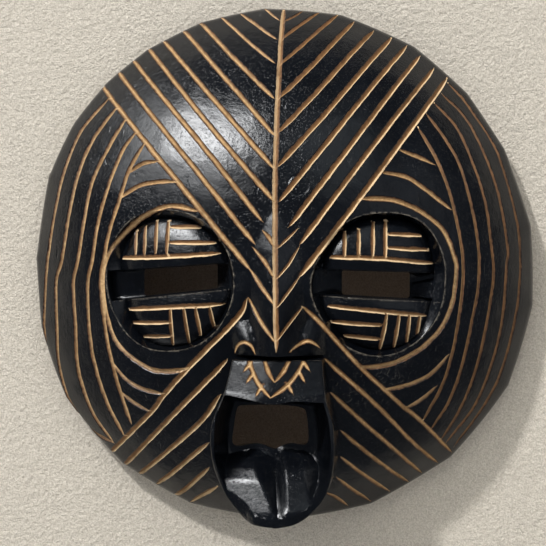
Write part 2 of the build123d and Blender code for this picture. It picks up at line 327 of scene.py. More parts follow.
class Cut:
    """One V-shaped cut: a centre line on the flattened skin, its half width along it, and the
    share of that half width by which its valley lies to one side."""

    def __init__(self, points, width, blunt, lean, on_lid, seed):
        self.on_lid = on_lid
        self.line = spline(flatten(points), STEP)
        count = len(self.line)
        t = np.linspace(0, 1, count)
        taper = min(0.5, TAPER / (STEP * count))
        lead = blunt[0] + (1 - blunt[0]) * np.sqrt(np.clip(t / taper, 0, 1))
        tail = blunt[1] + (1 - blunt[1]) * np.sqrt(np.clip((1 - t) / taper, 0, 1))
        wobble = np.array([noise.noise(Vector((k * 0.35, seed, 3.1))) for k in range(count)])
        drift = np.array([noise.noise(Vector((k * 0.18, seed, 8.7))) for k in range(count)])
        self.half = width / 2 * np.minimum(lead, tail) * (1 + WOBBLE * wobble)
        along = unit(np.gradient(self.line, axis=0))
        self.across = np.column_stack((-along[:, 1], along[:, 0]))
        self.line = self.line + self.across * (DRIFT * drift)[:, None]
        self.lean = lean
        self.valley = self.line + self.across * (lean * self.half)[:, None]

    def share(self, skin):
        """0 at the edges and outside, 1 along the valley; the half width there; and the painted
        light and shade value, lower (painted light) on the narrow, steeper wall and higher (painted
        shade) on the wide one."""
        share = np.zeros(len(skin))
        half = np.zeros(len(skin))
        wide = np.zeros(len(skin))
        margin = self.half.max() + 0.5
        low, high = self.line.min(0) - margin, self.line.max(0) + margin
        near = np.where(((skin > low) & (skin < high)).all(1))[0]
        if len(near):
            gap, place = nearest(skin[near], self.line)
            width = np.interp(place, np.arange(len(self.half)), self.half)
            k = np.round(place).astype(int)
            side = np.sign(((skin[near] - self.line[k]) * self.across[k]).sum(1))
            off = side * gap / np.maximum(width, 0.05)
            beyond = off > self.lean
            down = np.where(beyond, (1 - off) / (1 - self.lean), (1 + off) / (1 + self.lean))
            share[near] = down = np.clip(down, 0, 1)
            half[near] = width
            # painted light and shade: the narrow wall is marked as lit, the wide wall as shaded
            if self.lean:
                wall = np.where(beyond == (self.lean < 0), WALL_LIGHT_SHADE_STEP, -WALL_LIGHT_SHADE_STEP)
                light_shade_value = VALLEY_LIGHT_SHADE + wall * (1 - down)
                wide[near] = np.where(np.abs(off) < PAINTED_SHADE_REACH, light_shade_value, 0)
        return share, half, wide


def all_cuts():
    """Every cut, in groups: lines, width, how blunt the two ends are, and lean."""
    cuts = []

    def add(group, width, blunt=(0.3, 0.2), lean=0.0, on_lid=False):
        for points in group:
            cuts.append(Cut(points, width, blunt, lean, on_lid, seed=len(cuts) * SEED_STEP))

    for side, lean in ((FOREHEAD_LEFT, 0.0), (FOREHEAD_RIGHT, 0.42)):
        add(side[:1], 2.4, lean=lean)
        add(side[1:3], 2.9, lean=lean)
        add(side[3:9], 3.6, (0.25, 0.1), lean)
        add(side[9:], 3.9, (0.3, 0.3), lean)
    add(CENTRE_LINE, 3.6, (0.5, 0.2), -0.2)
    add(NOSE_LINES[:4], 3.1, (0.2, 0.4))
    add(NOSE_LINES[4:], 1.9, (0.2, 0.4), 0.45)
    add(ARCS_LEFT, 3.3)
    add(ARCS_RIGHT, 2.6, lean=-0.3)
    add(RINGS, 3.6, (0.3, 0.3))
    add(BRANCHES, 3.3, (0.5, 0.2))
    add(CHEEKS[:6], 3.7, lean=0.38)
    add(CHEEKS[6:], 3.2)
    add(LID_LONG, 3.2, (0.7, 0.2), -0.3, on_lid=True)
    for stroke in LID_SHORT:
        upright = stroke[0][1] - stroke[1][1] > UPRIGHT
        add([stroke], 3.0, (0.6, 0.6), 0.3 if upright else -0.3, on_lid=True)
    add(NOSTRILS, 2.8, (0.4, 0.3))
    add(LIP_LINES, 3.2, (0.8, 0.2))
    add(LIP_BARBS, 2.6, (0.9, 0.05))
    return cuts


# ---- eyes
EYE = (60.5, -10.5)
# Radius of each socket about its middle at every 30 degrees, from straight inwards (-180),
# through down (-90), outwards (0) and up (90): its rim, and the foot of its sloping wall.
SOCKET_RIM = {-1: (37, 36.6, 37.2, 38, 40.4, 39.8, 40.5, 43.2, 45, 43, 41, 38.5),
              1: (40, 38.6, 39.8, 40.3, 37.8, 36.2, 35.8, 38.8, 42.4, 41.3, 41.2, 38.8)}
SOCKET_FOOT = {-1: (34.8, 34.2, 34.8, 36, 36.7, 32.5, 31, 36.4, 40.2, 39, 37.6, 36),
               1: (36.4, 36.2, 37.2, 37, 35.4, 30.2, 28.8, 32.8, 39.5, 39, 38.6, 36.4)}
RIM_BEVEL = 0.10  # share of the wall that is a small bevel at its rim
RIM_BEVEL_SINK = 0.6
SOCKET_SINK = 9.0  # depth of a socket, and below it that of its foot at every 30 degrees
SOCKET_DEEP = {-1: (9,) * 12, 1: (9, 9, 9, 7, 4.6, 4.6, 6.5, 8.5, 9, 9, 9, 9)}
EYE_COUNT = 120  # mesh points round a socket
LID_RISE = 8.7
LID_ROUND = 0.6  # power of the lid's dome
SLOT_SINK = 11.0
BEVEL_WIDE = 5.0  # facet along each lid's straight edge
BEVEL_FALL = 1.6
LID_EDGES = {-1: (((-100, -2.6), (-23, 3.2)), ((-100, -20.6), (-22, -11.8))),
             1: (((22, -0.6), (98, -3.2)), ((22, -15.6), (98, -20.4)))}
SIGHT_FRONT = {-1: (27.0, 98.5), 1: (22.8, 90.0)}  # a slot goes through between these
SIGHT_BACK = {-1: (35.0, 80.0), 1: (37.0, 76.0)}  # and these behind
# How far down the socket wall each slot's floor ends, on the inner and the outer side.
SLOT_END = {-1: (0.93, 0.125), 1: (0.125, 0.93)}
SLOT_CLEAR = 0.2  # the slot's floor starts this far inside the lids' edges
SIGHT_INSET = 0.75  # and the through part this far
SIGHT_ROUND = 1.6  # rounding of its corners
SIGHT_COUNT = 96  # mesh points round it
LID_COUNT = 50  # and along a lid's edge


def around(radii, angle):
    """Smooth closed curve through radii given at even angles from -180 degrees."""
    radii = np.asarray(radii, float)
    place = (np.asarray(angle) + math.pi) / (2 * math.pi) * len(radii)
    k = np.floor(place).astype(int)
    t = place - k
    return between(*(radii[(k + n) % len(radii)] for n in (-1, 0, 1, 2)), t)


def socket_radius(side, angle):
    """Rim and foot of a socket's sloping wall, from the eye's middle. Angle 0 points outwards."""
    return around(SOCKET_RIM[side], angle), around(SOCKET_FOOT[side], angle)


def eye_local(side, x, z):
    """Distance and angle from an eye's middle, angle 0 outwards."""
    dx = side * (x - side * EYE[0])
    dz = z - EYE[1]
    return np.hypot(dx, dz), np.arctan2(dz, dx)


def eye_loop(side, share):
    """A loop between the foot (0) and the rim (1) of a socket, or inside the foot below 0."""
    angle = np.linspace(-math.pi, math.pi, EYE_COUNT, endpoint=False)
    rim, foot = socket_radius(side, angle)
    radius = foot + share * (rim - foot) if share >= 0 else foot * (1 + share)
    x = side * (EYE[0] + radius * np.cos(angle))
    return np.column_stack((x, EYE[1] + radius * np.sin(angle)))


def edge_height(side, which, x):
    """Height of the straight edge of the upper (0) or lower (1) lid."""
    (xa, za), (xb, zb) = LID_EDGES[side][which]
    return za + (zb - za) * (x - xa) / (xb - xa)


def carve_eyes(x, z, depth):
    """Depth with the two sockets, their lids and the floors of their slots."""
    for side in (-1, 1):
        radius, angle = eye_local(side, x, z)
        rim, foot = socket_radius(side, angle)
        wall = np.clip((rim - radius) / (rim - foot), 0, 1)
        share = np.clip(radius / foot, 0, 1)
        foot_sink = SOCKET_SINK + (around(SOCKET_DEEP[side], angle) - SOCKET_SINK) * share**2
        sink = np.interp(wall, (0, RIM_BEVEL, 1), (0, RIM_BEVEL_SINK / SOCKET_SINK, 1)) * foot_sink
        sink = sink - LID_RISE * (1 - share**2)**LID_ROUND
        upper = z - edge_height(side, 0, x)
        lower = edge_height(side, 1, x) - z
        bevel = np.clip(1 - np.maximum(upper, lower) / BEVEL_WIDE, 0, 1) * BEVEL_FALL
        sink = sink + bevel * (share < 1)
        inner, outer = SLOT_END[side]
        ends = np.where(side * x < EYE[0], inner, outer)
        in_slot = (upper < -SLOT_CLEAR) & (lower < -SLOT_CLEAR) & (wall > ends)
        sink = np.where(in_slot, SLOT_SINK, sink)
        depth = np.where(radius < rim, depth - sink, depth)
    return depth


def on_lids(x, z):
    """True on the raised lids, inside the foot of the socket wall."""
    result = np.zeros(len(x), bool)
    for side in (-1, 1):
        radius, angle = eye_local(side, x, z)
        result |= radius < 0.99 * socket_radius(side, angle)[1]
    return result


def sight_loop(side, span=SIGHT_FRONT):
    """Edge of the through part of a slot, a rounded four-sided loop."""
    near, far = span[side]
    corners = []
    for x, which, sign in ((near, 0, -1), (far, 0, -1), (far, 1, 1), (near, 1, 1)):
        z = edge_height(side, which, side * x) + sign * SIGHT_INSET
        corners.append(np.array((side * x, z)))
    points = []
    for k, corner in enumerate(corners):
        before = corners[k - 1] - corner
        after = corners[(k + 1) % 4] - corner
        before *= SIGHT_ROUND / np.linalg.norm(before)
        after *= SIGHT_ROUND / np.linalg.norm(after)
        points += [corner + before * (1 - t)**2 + after * t**2 for t in (0.0, 0.25, 0.5, 0.75, 1.0)]
    return evenly(np.array(points + points[:1]), SIGHT_COUNT)[:-1]


# ---- nose
NOSE_TOP = 34.0
NOSE_END = -49.5
NOSE_RISE = 18.6
NOSE_LEVELS = (-49.5, -45, -32, -19, -4, 10, 20, 34)
NOSE_HALVES = (22, 21, 17, 15.3, 14.2, 12.5, 8, 0.6)
WINGS = ((-13.5, -45.5, -0.25), (18.0, -45.0, 0.1))  # foot of each wing, and the lean of its ridge
WING_WIDE = 13.0
WING_HIGH = 15.5
WING_RISE = 9.5
NOSE_FALL = 1.15  # power by which the wedge rises downwards
NOSE_ROUND = 1.3  # and by which it falls from its ridge to each side
RIDGE_BEND = 2.0
WING_ROUND = 1.25
WING_CREST = 0.12  # share of a wing that is flat
NOSE_FOOT = (-27, 28)  # span of the step below the nose
NOSE_STEP = 0.5  # run of that step
FOOT_COUNT = 44  # mesh points along the step
NOSE_COUNT = 56  # and down each side of the nose


def ridge_x(z):
    """The ridge bends a little to the right further down."""
    return RIDGE_BEND * ramp(-np.asarray(z, float), -30, 40)


def carve_nose(x, z, depth):
    """Depth with the wedge of the nose and its two wings."""
    fall = np.clip((NOSE_TOP - z) / (NOSE_TOP - NOSE_END), 0, 1)
    half = np.interp(z, NOSE_LEVELS, NOSE_HALVES)
    off = np.abs(x - ridge_x(z)) / half
    rise = NOSE_RISE * fall**NOSE_FALL * np.clip(1 - off**NOSE_ROUND, 0, 1)
    for wx, wz, lean in WINGS:
        up = (z - wz) / WING_HIGH
        across = (x - wx - lean * (z - wz)) / WING_WIDE
        away = np.hypot(np.abs(across) + 0.25 * across**2, np.where(up > 0, up, 0.5 * up))
        wing = 1 - np.clip(away, WING_CREST, 1)**WING_ROUND
        rise = np.maximum(rise, WING_RISE * np.clip(wing, 0, 1))
    rise = np.where((z > NOSE_END - 0.2) & (z < NOSE_TOP), rise, 0)
    return depth + rise


# ---- muzzle
MUZZLE_DRAFT = 0.9  # the wall leans out this much from lip to root
WALL_RINGS = 12
LIP_D = 102.0  # depth of the lower lip's rim
LIP_EDGE = 0.5  # the rim's outer edge is rounded off by this
LIP_BEVEL = 0.6  # over this width
BAR_D = 105.3  # and of the upper lip bar's ridge at its top
MOUTH_D = 77.0  # depth of the mouth hole
SIDE_COUNT = 60  # mesh columns down each side
TOP_COUNT = 44  # and across the top
MUZZLE_TOP = ((-23.5, -52), (0, -52), (27, -52))
MUZZLE_RIGHT = ((27, -52), (29, -70), (31.4, -79), (33.6, -87), (34.5, -98), (33.8, -111),
                (31.6, -122), (27, -131), (19, -139), (11.5, -143), (2, -144.6))
MUZZLE_LEFT = ((-23.5, -52), (-25, -60), (-28, -71.5), (-31, -79), (-34, -88), (-34.5, -98),
               (-33.4, -111), (-30.6, -121), (-25, -131), (-19.5, -137), (-12, -142.5),
               (2, -144.6))
CRATER_TOP = ((-27, -71), (-14, -73), (-1, -75.6), (12, -74), (28.5, -74.8))
CRATER_RIGHT = ((28.5, -74.8), (31, -84), (32.6, -98), (31.8, -110), (29, -121), (23.5, -130.5),
                (14, -137.5), (3, -140))
CRATER_LEFT = ((-27, -71), (-31.5, -84), (-32.6, -98), (-31.6, -110), (-28.4, -121), (-22, -130.5),
               (-11, -137.5), (3, -140))
MOUTH_TOP = ((-22, -79), (-8, -78.5), (8, -78.8), (17, -80.5))
MOUTH_RIGHT = ((17, -80.5), (18.5, -92), (17.5, -101), (8, -100.2), (-1, -104))
MOUTH_LEFT = ((-22, -79), (-24, -91), (-24, -102), (-10, -100.5), (-1, -104))


def three_sided(top, right, left):
    """Closed loop: across the top, down the right side, and back up the left."""
    across = spline(top, TOP_COUNT)
    down = spline(right, SIDE_COUNT)
    back = spline(left, SIDE_COUNT)
    return np.vstack((across[:-1], down[:-1], back[::-1][:-1]))


muzzle_rim = three_sided(MUZZLE_TOP, MUZZLE_RIGHT, MUZZLE_LEFT)
crater_rim = three_sided(CRATER_TOP, CRATER_RIGHT, CRATER_LEFT)
mouth_hole = three_sided(MOUTH_TOP, MOUTH_RIGHT, MOUTH_LEFT)


def smooth_loop(loop, times):
    """Each point moved towards its two neighbours."""
    for _ in range(times):
        loop = (np.roll(loop, 1, axis=0) + 2 * loop + np.roll(loop, -1, axis=0)) / 4
    return loop


def grown_muzzle(grow):
    """The muzzle's rim moved outwards."""
    along = unit(np.roll(muzzle_rim, -1, axis=0) - np.roll(muzzle_rim, 1, axis=0))
    out = smooth_loop(np.column_stack((-along[:, 1], along[:, 0])), 3)
    return muzzle_rim + unit(out) * grow


def crest_depth(z):
    """Depth along the crest of the lower lip, falling back towards the mouth hole."""
    return np.interp(z, (-141, -137, -120, -113, -108, -104, -101),
                     (103, 102.6, 95.4, 90, 84, 78.5, 77))


def inside(points, loop):
    """True where a point is inside a closed loop."""
    x, z = points[:, 0][:, None], points[:, 1][:, None]
    a, b = loop, np.roll(loop, -1, axis=0)
    spans = (a[:, 1] > z) != (b[:, 1] > z)
    climb = np.where(b[:, 1] == a[:, 1], 1e-9, b[:, 1] - a[:, 1])
    crossing = (b[:, 0] - a[:, 0]) * (z - a[:, 1]) / climb + a[:, 0]
    return (spans & (x < crossing)).sum(1) % 2 == 1


def lip_face(x, z):
    """Front of the muzzle: the upper lip bar's two planes, and the rim band that leans outwards."""
    bar = BAR_D - 0.25 * np.hypot(x + 1, 4.0) - 0.36 * (z + 75)
    closed = np.vstack((crater_rim, crater_rim[:1]))
    gap, _ = nearest(np.column_stack((x, z)), closed)
    lean = 0.14 * np.abs(x) + 6.0 * ramp(-x, 4, 26)
    band = LIP_D + 0.8 - lean * ramp(-z, 100, 126) * ramp(np.abs(x), 4, 16)
    band = band - 0.3 * gap
    mix = ramp(-z, 69, 79)
    return bar * (1 - mix) + band * mix


# ---- front skin
class Sheet:
    """Points and lines for one triangulation, with an optional fixed depth for each point."""

    def __init__(self):
        self.points = []
        self.fixed = []
        self.worn = []
        self.edges = []

    def add(self, points, closed=False, depth=None, worn=0.0):
        """Points joined in a line or loop; returns their numbers."""
        start = len(self.points)
        count = len(points)
        self.points += [tuple(p) for p in points]
        self.worn += [worn] * count
        self.fixed += list(depth) if depth is not None else [math.nan] * count
        self.edges += [(start + k, start + k + 1) for k in range(count - 1)]
        if closed:
            self.edges.append((start + count - 1, start))
        return np.arange(start, start + count)

    def fill(self, limit, clear):
        """Free points on a hexagonal grid, kept clear of the lines."""
        tree = kdtree.KDTree(len(self.points))
        for k, p in enumerate(self.points):
            tree.insert((p[0], p[1], 0), k)
        tree.balance()
        rows = int(limit / (GRID * HEX)) + 1
        for j in range(-rows, rows + 1):
            v = j * GRID * HEX
            for i in range(-rows, rows + 1):
                u = (i + 0.5 * (j % 2)) * GRID
                if math.hypot(u, v) < limit and tree.find((u, v, 0))[2] > clear:
                    self.points.append((u, v))
                    self.fixed.append(math.nan)
                    self.worn.append(0.0)

    def triangulate(self):
        """Vertices, triangles, fixed depths, wear and painted edge highlight, and where each given
        point went.
        """
        verts, _, faces, origins, _, _ = geometry.delaunay_2d_cdt(
            [Vector(p) for p in self.points], self.edges, [], 0, 1e-4)
        fixed = np.full(len(verts), math.nan)
        worn = np.zeros(len(verts))
        went = np.full(len(self.points), -1)
        for k, sources in enumerate(origins):
            for s in sources:
                went[s] = k
                worn[k] = max(worn[k], self.worn[s])
                if not math.isnan(self.fixed[s]):
                    fixed[k] = self.fixed[s]
        return np.array([tuple(v) for v in verts]), np.array(faces), fixed, worn, went


EDGE_COUNT = 620  # mesh points round the outline
SOCKET_LOOPS = (1.0, 1 - RIM_BEVEL, 0.85, 0.5, 0.1, 0.04, 0.0, -0.02, -0.06, -0.12)
LID_IN = 0.35  # lines just above and below each lid's edge
LID_OUT = 0.45
SOCKET_EDGE_PALE = 1.0  # strength of the pale line along each edge: rubbed-off stain and a painted edge highlight
LID_EDGE_PALE = 0.75
MUZZLE_EDGE_PALE = 0.6


def add_lid_lines(sheet, side):
    """The straight edges of one eye's lids, with the facets along them."""
    for which, sign in ((0, 1), (1, -1)):
        (xa, _), (xb, _) = LID_EDGES[side][which]
        x = np.linspace(xa + 2, xb - 2, LID_COUNT)
        for lift in (sign * BEVEL_WIDE, sign * LID_IN, 0.0, -sign * LID_OUT):
            line = np.column_stack((x, edge_height(side, which, x) + lift))
            radius, angle = eye_local(side, line[:, 0], line[:, 1])
            rim, foot = socket_radius(side, angle)
            line = line[radius < np.where(abs(lift) < 0.5, 0.14 * foot + 0.86 * rim, foot * 0.998)]
            sheet.add(flatten(line), worn=LID_EDGE_PALE if lift == -LID_IN else 0.0)


def add_lines(sheet, cuts):
    """Every crease of the front that the mesh has to follow."""
    loops = {}
    ways = full_turn(EDGE_COUNT)
    loops["edge"] = sheet.add(ways * RUN_END, closed=True)
    # pale lines along the rim's edges: rubbed-off stain and a painted edge highlight
    for run, worn in ((RUN_SIDE, 0), (RUN_SHOULDER, 0.5), ((RUN_DOME + RUN_SHOULDER) / 2, 0.85)):
        sheet.add(ways * run, closed=True, worn=worn)
    for side in (-1, 1):
        for share in SOCKET_LOOPS:
            worn = SOCKET_EDGE_PALE if share == 1.0 else 0.0
            sheet.add(flatten(eye_loop(side, share)), closed=True, worn=worn)
        add_lid_lines(sheet, side)
        loops["sight", side] = sheet.add(flatten(sight_loop(side)), closed=True)
    lip = lip_face(*muzzle_rim.T) - LIP_EDGE
    for grow in np.linspace(MUZZLE_DRAFT, 0, WALL_RINGS + 1)[:-1]:
        ring = grown_muzzle(grow)
        root = dome(ring[:, 0], ring[:, 1])
        share = 1 - grow / MUZZLE_DRAFT
        sheet.add(flatten(ring), closed=True, depth=root * (1 - share) + lip * share)
    sheet.add(flatten(muzzle_rim), closed=True, depth=lip, worn=MUZZLE_EDGE_PALE)
    bevel = grown_muzzle(-LIP_BEVEL)
    sheet.add(flatten(bevel), closed=True, depth=lip_face(*bevel.T))
    loops["crater"] = sheet.add(flatten(crater_rim), closed=True, depth=lip_face(*crater_rim.T))
    nose_x = np.linspace(*NOSE_FOOT, FOOT_COUNT)
    for level in (NOSE_END, NOSE_END - NOSE_STEP):
        sheet.add(flatten(np.column_stack((nose_x, np.full(len(nose_x), level)))))
    for sign in (-1, 1):
        z = np.linspace(NOSE_TOP, NOSE_END, NOSE_COUNT)
        x = ridge_x(z) + sign * np.interp(z, NOSE_LEVELS, NOSE_HALVES)
        sheet.add(flatten(np.column_stack((x, z))))
    for cut in cuts:
        across = cut.across * cut.half[:, None]
        lines = (cut.line + across, cut.valley, cut.line - across)
        for line in lines:
            sheet.add(line)
        for tip in (0, -1):
            sheet.add([line[tip] for line in lines])
    return loops


# The outline cut by hand is not quite round: share added to the radius at every 30 degrees,
# from straight down (-180) through the left (-90) to the top (0) and the right (90).
OUTLINE = (0.004, 0.022, 0.034, 0.012, 0.024, 0.014, 0.007, -0.003, -0.013, -0.002, 0.009, -0.001)
# Degrees of the corners between the flat strokes that trimmed the outline.
CORNERS = (-180, -158, -141, -121, -104, -89, -69, -56, -44, -33, -19, -5,
           13, 31, 47, 62, 81, 99, 118, 139, 160, 180)
OUTLINE_FROM = 115  # the hand-cut outline takes hold this far out
TRIM_FROM = 138  # and its flats this far
TRIM_ALL = 0.3  # shares of a full flat that the strokes take off: all along
TRIM_FLAT = 0.65  # and between the corners


def hand_outline(front):
    """Front view points moved so that the round blank gets its hand-cut outline."""
    angle = np.arctan2(front[:, 0], front[:, 1])
    reach = np.hypot(front[:, 0], front[:, 1] / STRETCH)
    corners = np.radians(CORNERS)
    side = np.clip(np.searchsorted(corners, angle) - 1, 0, len(corners) - 2)
    half = (corners[side + 1] - corners[side]) / 2
    chord = np.cos(half) / np.cos(angle - corners[side] - half)
    trim = TRIM_ALL * (1 - np.cos(half)) + TRIM_FLAT * (chord - 1)
    trim = trim * ramp(reach, TRIM_FROM, HALF_W)
    return front * (1 + around(OUTLINE, angle) * ramp(reach, OUTLINE_FROM, HALF_W) + trim)[:, None]


def mark_cuts(cuts, skin, lids):
    """For each point: share of a cut's depth, painted light and shade of its walls, and half width
    times that share.
    """
    share = np.zeros(len(skin))
    deep = np.zeros(len(skin))
    wide = np.zeros(len(skin))
    for cut in cuts:
        s, half, w = cut.share(skin)
        if cut.on_lid:
            s = s * lids
        wide = np.where((s > share) | ((w > 0) & (s == share)), w, wide)
        share = np.maximum(share, s)
        deep = np.maximum(deep, s * half)
    return share, wide, deep


FREE_CLEAR = 0.55  # free points stay this far from the lines, as a share of their spacing
UNEVEN = ((0.35, 24, 1.0), (0.10, 7, 5.0))  # swells of the surface: height, length, seed
EVEN_FROM = (-150, -140)  # they fade out towards the outline
CARVED = 0.01  # a point moved in depth by more than this is off the dome
CUT_DEEP = 1.05  # depth of a cut over its half width
WALL_CLEAR = 0.05  # no cut runs on to the muzzle's wall, or this close to it


def front_skin():
    """Vertices, triangles, marks for the stain, painted light and shade of the cut walls and pale
    edge lines with a painted highlight, and named loops of the whole front.
    """
    cuts = all_cuts()
    sheet = Sheet()
    loops = add_lines(sheet, cuts)
    sheet.fill(RUN_END - 1, FREE_CLEAR * GRID)
    skin, faces, fixed, worn, went = sheet.triangulate()
    middle, _, _ = unflatten(skin[faces].mean(1))
    keep = ~inside(middle, crater_rim)
    for side in (-1, 1):
        keep &= ~inside(middle, sight_loop(side))
    front, plain, out = unflatten(skin)
    x, z = front.T
    depth = carve_nose(x, z, carve_eyes(x, z, plain))
    on_face = inside(front, muzzle_rim)
    depth[on_face] = lip_face(x[on_face], z[on_face])
    given = ~np.isnan(fixed)
    depth[given] = fixed[given]
    share, wide, deep = mark_cuts(cuts, skin, on_lids(x, z))
    uneven = sum(height * wander(x, z, length, seed) for height, length, seed in UNEVEN)
    on_wall = inside(front, grown_muzzle(MUZZLE_DRAFT + WALL_CLEAR))
    on_wall &= ~inside(front, grown_muzzle(-WALL_CLEAR))
    share[on_wall] = 0
    deep[on_wall] = 0
    out[np.abs(depth - plain) > CARVED] = (0, -1, 0)
    place = placed(hand_outline(front), depth)
    uneven = uneven * ramp(-np.hypot(x, z / STRETCH), *EVEN_FROM)
    place += out * (uneven - CUT_DEEP * deep)[:, None]
    loops = {name: went[index] for name, index in loops.items()}
    return place, faces[keep], (share, wide, worn), loops


# ---- back of the mask
HOLLOW_RUN = 1.217  # arc length of the hollow's section over its half width
HOLLOW_COUNT = 380  # mesh points round the hollow's edge
BACK_LIMIT = 200  # the free points reach this far, past the outline
SCALLOP_ROW = 10.5  # spacing of the gouge marks outwards
SCALLOP_WIDE = 8.5  # and along each row


def back_flatten(points):
    """Back view points unrolled from the hollow on to a plane."""
    level = (np.asarray(points, float) - (0, HOLLOW_Z)) / (HOLLOW_W, HOLLOW_H)
    share = np.hypot(level[:, 0], level[:, 1])
    angle = np.arcsin(np.clip(share, 0, 1))
    run = np.where(share < 1, HOLLOW_RUN * angle / (math.pi / 2), HOLLOW_RUN + share - 1)
    return level * (run / np.maximum(share, TINY))[:, None] * (HOLLOW_W, HOLLOW_H)


def back_unflatten(skin):
    """Back view points again, and how far out each is: 1 on the hollow's edge."""
    level = skin / (HOLLOW_W, HOLLOW_H)
    run = np.hypot(level[:, 0], level[:, 1])
    hollow = np.sin(np.clip(run / HOLLOW_RUN, 0, 1) * math.pi / 2)
    share = np.where(run < HOLLOW_RUN, hollow, run - HOLLOW_RUN + 1)
    place = level * (share / np.maximum(run, TINY))[:, None] * (HOLLOW_W, HOLLOW_H) + (0, HOLLOW_Z)
    return place, share


def scallops(skin):
    """Shallow overlapping gouge marks in rows that follow the hollow."""
    run = np.hypot(skin[:, 0], skin[:, 1])
    angle = np.arctan2(skin[:, 0], skin[:, 1])
    row = run / SCALLOP_ROW
    across = (run * angle) / SCALLOP_WIDE + 0.5 * np.floor(row)
    bend = np.array([noise.noise(Vector((a * 0.6, b * 0.6, 2.0))) for a, b in zip(row, across)])
    a = (row + 0.35 * bend) % 1 - 0.5
    b = (across + 0.5 * bend) % 1 - 0.5
    return 0.9 * (1 - np.clip(1.5 * (a * a + b * b), 0, 1)) - 0.5


def back_skin(edge_points, holes):
    """Vertices, triangles, named loops and outer edge of the whole back."""
    sheet = Sheet()
    outline = back_flatten(edge_points)
    edge = sheet.add(outline, closed=True)
    flat_holes = {name: back_flatten(loop) for name, loop in holes.items()}
    loops = {name: sheet.add(loop, closed=True) for name, loop in flat_holes.items()}
    ways = full_turn(HOLLOW_COUNT) * (HOLLOW_W, HOLLOW_H)
    for run in (HOLLOW_RUN, HOLLOW_RUN + 0.012, HOLLOW_RUN - 0.02):
        sheet.add(ways * run, closed=True)
    sheet.fill(BACK_LIMIT, 0.6 * GRID)
    skin, faces, _, _, went = sheet.triangulate()
    middle = skin[faces].mean(1)
    keep = inside(middle, outline)
    for loop in flat_holes.values():
        keep &= ~inside(middle, loop)
    place, share = back_unflatten(skin)
    depth = BACK_D + HOLLOW_DEEP * np.sqrt(np.clip(1 - share**2, 0, 1))
    inner = ramp(-share, -0.985, -0.93)
    depth = depth + scallops(skin) * inner + 0.5 * wander(*skin.T, 30, 9.0) * inner
    flat = 0.25 * wander(*place.T, 14, 4.0) * ramp(share, 1.02, 1.1)
    depth = depth + np.maximum(flat, -0.05)
    loops = {name: went[index] for name, index in loops.items()}
    return placed(place, depth), faces[keep], loops, went[edge]


# ---- crater and tunnels
CRATER_ROWS = 26
MOUTH_ROWS = 12
SIGHT_ROWS = 6
MOUTH_FLARE = 1.55  # the mouth hole widens behind, into the hollow
CREASE = 33  # degrees between faces from which an edge stays sharp


def lobe_depth(x, z):
    """The lower lip: two lobes that fall away from a crest each side of a deep V between them."""
    split = np.interp(z, (-141, -120, -103), (3.5, 1, -1.5))
    left = split - x
    right = x - split
    off = np.maximum(left, right)
    right_fall = 0.16 * np.maximum(off - 4, 0) + 0.55 * np.maximum(off - 17, 0)
    fall = np.where(left > 0, 0.20 * np.maximum(off - 4, 0), right_fall)
    wide = np.where(left > 0, np.interp(z, (-141, -112, -103), (1.0, 11, 12)),
                    np.interp(z, (-141, -134, -103), (2.5, 6.5, 7.5)))
    deep = np.interp(z, (-141, -134, -120, -108, -103), (1.0, 5, 9, 8, 1))
    notch = deep * np.clip(1 - off / wide, 0, 1)**np.where(left > 0, 1.0, 1.35)
    return crest_depth(z) - fall - notch


def crater_rows(rim):
    """Rows of points from the crater's rim down to the mouth hole."""
    lip = -rim[:, 1]
    hole = smooth_loop(mouth_hole, 8)
    rows = []
    for k in range(1, CRATER_ROWS + 1):
        t = (k / CRATER_ROWS)**1.2
        flat = rim[:, [0, 2]] * (1 - t) + hole * t
        wall = MOUTH_D + (lip - MOUTH_D) * (1 - t)**3.2
        lobe = np.where(flat[:, 1] < -100, lobe_depth(flat[:, 0], flat[:, 1]), 0)
        depth = np.maximum(wall, np.minimum(lobe, lip + 6 * t))
        if k == CRATER_ROWS:
            depth = np.full(len(rim), MOUTH_D)
        rows.append(placed(flat, depth))
    return rows


def tunnel_rows(start, end, count, power):
    """Rows of points from one loop to another behind it."""
    rows = []
    for k in range(1, count):
        t = k / count
        spread = t**power
        row = start * (1 - t) + end * t
        row[:, [0, 2]] = start[:, [0, 2]] * (1 - spread) + end[:, [0, 2]] * spread
        rows.append(row)
    return rows


def bridge(rings):
    """Quads between successive rings of vertex numbers."""
    faces = []
    for a, b in zip(rings, rings[1:]):
        for k in range(len(a)):
            n = (k + 1) % len(a)
            faces.append((a[k], a[n], b[n], b[k]))
    return faces


def new_object(name, data):
    """Object with the given mesh, camera or light, put in the scene."""
    thing = bpy.data.objects.new(name, data)
    bpy.context.scene.collection.objects.link(thing)
    return thing


